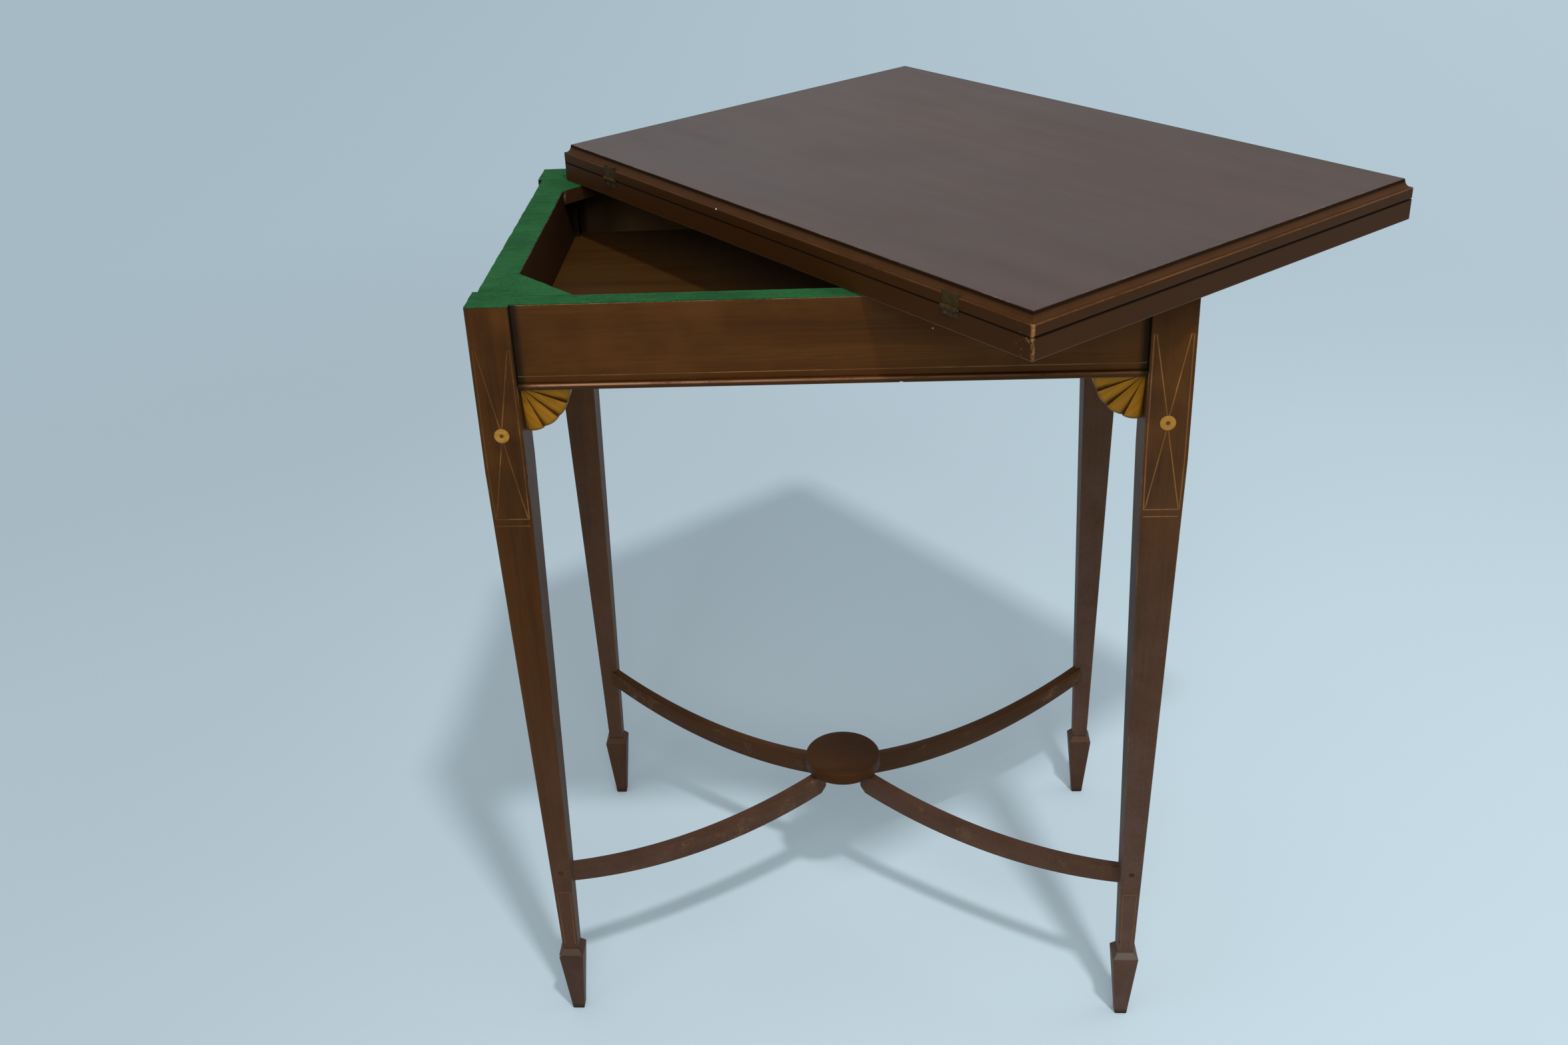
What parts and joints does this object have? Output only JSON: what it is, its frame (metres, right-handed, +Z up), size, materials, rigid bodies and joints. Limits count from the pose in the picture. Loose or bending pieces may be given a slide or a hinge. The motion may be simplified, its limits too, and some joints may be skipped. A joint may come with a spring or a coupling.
{
  "type": "folding game table",
  "caption": "Small fold-over card table on tapered legs with a crossed stretcher; its two-leaf top swivels and unfolds over a shallow well.",
  "frame": {"origin": "on the floor, under the middle of the table's plan as it stands with the top turned", "axes": "+Z up, +X along the frame's length to the right, -Y towards the front with the inlaid legs"},
  "size_m": [0.7117, 0.7054, 0.7338],
  "materials": {
    "mahogany": "polished",
    "top_mahogany": "polished",
    "bare_mahogany": "unpolished",
    "satinwood": "polished",
    "boxwood": "polished",
    "baize": "felted",
    "brass": "tarnished",
    "iron": "dull"
  },
  "bodies": {
    "frame": {"leg_front_left": "mahogany", "leg_front_right": "mahogany", "leg_back_left": "mahogany", "leg_back_right": "mahogany", "spade_foot_front_left": "mahogany", "spade_foot_front_right": "mahogany", "spade_foot_back_left": "mahogany", "spade_foot_back_right": "mahogany", "screw_plug_front_left": "mahogany", "screw_plug_front_right": "mahogany", "screw_plug_back_left": "mahogany", "screw_plug_back_right": "mahogany", "apron_front": "mahogany", "apron_back": "mahogany", "apron_left": "mahogany", "apron_right": "mahogany", "apron_bead_front": "mahogany", "apron_bead_back": "mahogany", "apron_bead_left": "mahogany", "apron_bead_right": "mahogany", "corner_block_front_left": "bare_mahogany", "corner_block_front_right": "bare_mahogany", "corner_block_back_left": "bare_mahogany", "corner_block_back_right": "bare_mahogany", "well_floor": "bare_mahogany", "rim_baize": "baize", "pivot_rail": "bare_mahogany", "bearing_plate": "brass", "fan_bracket_front_left": "satinwood", "fan_bracket_front_right": "satinwood", "roundel_front_left": "boxwood", "roundel_front_right": "boxwood", "stretcher_arm_front_left": "mahogany", "stretcher_arm_front_right": "mahogany", "stretcher_arm_back_left": "mahogany", "stretcher_arm_back_right": "mahogany", "stretcher_disc": "mahogany", "disc_screw_front_left": "iron", "disc_screw_front_right": "iron", "disc_screw_back_left": "iron", "disc_screw_back_right": "iron"},
    "swivel_top": {"lower_leaf": "top_mahogany", "lower_playing_baize": "baize", "swivel_plate": "iron", "swivel_bolt": "iron", "swivel_washer": "iron", "swivel_nut": "iron", "stop_pin": "iron", "hinge_plate_lower_front": "brass", "hinge_plate_lower_back": "brass", "hinge_pin_front": "brass", "hinge_pin_back": "brass", "hinge_screw_front_a": "brass", "hinge_screw_front_b": "brass", "hinge_screw_back_a": "brass", "hinge_screw_back_b": "brass"},
    "folding_leaf": {"upper_leaf": "top_mahogany", "upper_playing_baize": "baize", "hinge_plate_upper_front": "brass", "hinge_plate_upper_back": "brass"}
  },
  "joints": [
    {"name": "swivel", "type": "hinge", "parent": "frame", "child": "swivel_top", "pos_m": [0.01278, -0.14404, 0.7], "axis": [0, 0, 1], "range_deg": [-40, 50]},
    {"name": "leaf_fold", "type": "hinge", "parent": "swivel_top", "child": "folding_leaf", "pos_m": [-0.07283, -0.21588, 0.71765], "axis": [0.6428, -0.766, 0], "range_deg": [0, 180]}
  ]
}
